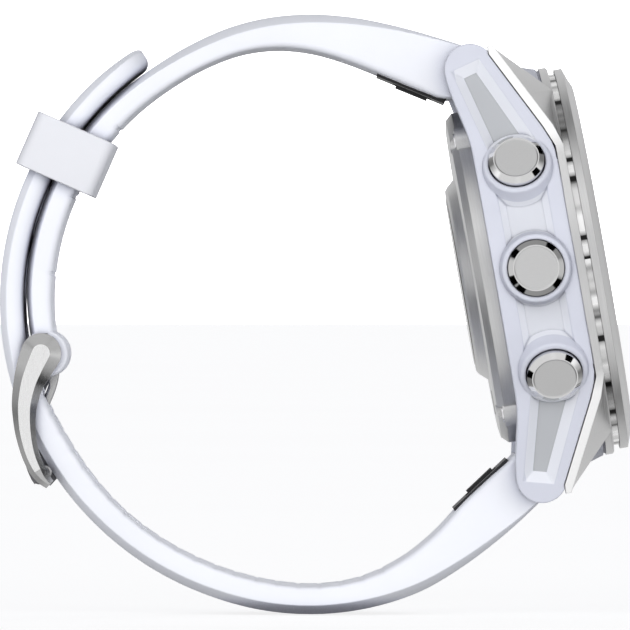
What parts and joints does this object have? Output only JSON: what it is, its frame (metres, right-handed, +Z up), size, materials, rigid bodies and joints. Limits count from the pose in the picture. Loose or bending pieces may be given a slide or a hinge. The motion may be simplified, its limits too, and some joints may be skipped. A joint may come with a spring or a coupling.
{
  "type": "gps running watch",
  "caption": "Round sports watch with steel bezel, pale polymer case, side push buttons and a buckled silicone band, shown closed as if on a wrist.",
  "frame": {"origin": "centre of the wrist space, on the display's own axis", "axes": "+Y along the wrist axis from the 9 o'clock side to the 3 o'clock side; +Z up, with 12 o'clock leaning back 10 degrees; +X the way the display mostly faces"},
  "size_m": [0.0676, 0.044, 0.0641],
  "materials": {
    "case_polymer": "satin fibre-reinforced polymer, pale grey white",
    "silicone": "matte silicone, near white",
    "steel": "fine brushed steel with polished edges",
    "polished_steel": "polished steel",
    "black_plastic": "moulded black plastic",
    "lens_glass": "hard mineral glass",
    "sensor_glass": "dark translucent window",
    "display": "memory-in-pixel panel",
    "board": "solder-masked circuit board",
    "chip": "moulded chip packages",
    "gold": "gold-plated contacts",
    "battery": "foil pouch cell",
    "seal": "black rubber seal",
    "bare_metal": "plain turned metal"
  },
  "bodies": {
    "watch": {"back_gasket": "seal", "back_plate": "steel", "back_screws": "polished_steel", "battery": "battery", "bezel_frame": "steel", "board_chips": "chip", "buckle_pin": "polished_steel", "button_bushings": "bare_metal", "button_switches": "black_plastic", "case_body": "case_polymer", "chapter_ring": "black_plastic", "charge_contacts": "gold", "charge_socket": "black_plastic", "display_glass": "display", "display_panel": "display", "down_spring": "bare_metal", "front_bezel": "steel", "gps_antenna": "gold", "groove_ring": "polished_steel", "lap_spring": "bare_metal", "lens": "lens_glass", "light_spring": "bare_metal", "lower_latch_plate": "black_plastic", "lower_latch_spring": "bare_metal", "lower_lug_bar": "bare_metal", "lower_strap": "silicone", "main_board": "board", "mid_frame": "black_plastic", "motor_can": "bare_metal", "sensor_board": "board", "sensor_housing": "black_plastic", "sensor_optics": "display", "sensor_window": "sensor_glass", "start_spring": "bare_metal", "up_spring": "bare_metal", "upper_latch_plate": "black_plastic", "upper_latch_spring": "bare_metal", "upper_lug_bar": "bare_metal", "upper_strap": "silicone"},
    "up_key": {"up_button": "steel", "up_clip": "bare_metal", "up_seal": "seal"},
    "light_key": {"light_button": "steel", "light_clip": "bare_metal", "light_seal": "seal"},
    "down_key": {"down_button": "steel", "down_clip": "bare_metal", "down_seal": "seal"},
    "start_key": {"start_button": "steel", "start_clip": "bare_metal", "start_seal": "seal"},
    "lap_key": {"lap_button": "steel", "lap_clip": "bare_metal", "lap_seal": "seal"},
    "rotor": {"motor_rotor": "bare_metal"},
    "buckle": {"buckle_frame": "steel"},
    "tongue": {"buckle_tongue": "steel"},
    "keeper_loop": {"keeper": "silicone"},
    "upper_slider": {"upper_latch_slider": "black_plastic"},
    "lower_slider": {"lower_latch_slider": "black_plastic"}
  },
  "joints": [
    {"name": "up_press", "type": "slide", "parent": "watch", "child": "up_key", "axis": [0, 1, 0], "range_m": [0, 0.0006], "stiffness_N_per_m": 2500, "springref_m": -0.0004, "deforming": ["up_spring"]},
    {"name": "light_press", "type": "slide", "parent": "watch", "child": "light_key", "axis": [0.0894, 0.8572, -0.5072], "range_m": [0, 0.0006], "stiffness_N_per_m": 2500, "springref_m": -0.0004, "deforming": ["light_spring"]},
    {"name": "down_press", "type": "slide", "parent": "watch", "child": "down_key", "axis": [-0.0894, 0.8572, 0.5072], "range_m": [0, 0.0006], "stiffness_N_per_m": 2500, "springref_m": -0.0004, "deforming": ["down_spring"]},
    {"name": "start_press", "type": "slide", "parent": "watch", "child": "start_key", "axis": [0.0894, -0.8572, -0.5072], "range_m": [0, 0.0006], "stiffness_N_per_m": 2500, "springref_m": -0.0004, "deforming": ["start_spring"]},
    {"name": "lap_press", "type": "slide", "parent": "watch", "child": "lap_key", "axis": [-0.0894, -0.8572, 0.5072], "range_m": [0, 0.0006], "stiffness_N_per_m": 2500, "springref_m": -0.0004, "deforming": ["lap_spring"]},
    {"name": "motor_spin", "type": "hinge", "parent": "watch", "child": "rotor", "pos_m": [0.0247, 0, 0.01715], "axis": [0, 1, 0], "continuous": true},
    {"name": "buckle_hinge", "type": "hinge", "parent": "watch", "child": "buckle", "pos_m": [-0.02341, 0, -0.00403], "axis": [0, 1, 0], "range_deg": [0, 7]},
    {"name": "tongue_hinge", "type": "hinge", "parent": "buckle", "child": "tongue", "pos_m": [-0.02341, 0, -0.00403], "axis": [0, 1, 0], "range_deg": [0, 3]},
    {"name": "keeper_slide", "type": "hinge", "parent": "watch", "child": "keeper_loop", "pos_m": [0.00418, 0, 0.00165], "axis": [0, 1, 0], "range_deg": [-12, 24]},
    {"name": "upper_release", "type": "slide", "parent": "watch", "child": "upper_slider", "axis": [0, 1, 0], "range_m": [0, 0.0007], "stiffness_N_per_m": 1200, "springref_m": -0.0003, "deforming": ["upper_latch_spring"]},
    {"name": "lower_release", "type": "slide", "parent": "watch", "child": "lower_slider", "axis": [0, -1, 0], "range_m": [0, 0.0007], "stiffness_N_per_m": 1200, "springref_m": -0.0003, "deforming": ["lower_latch_spring"]}
  ]
}
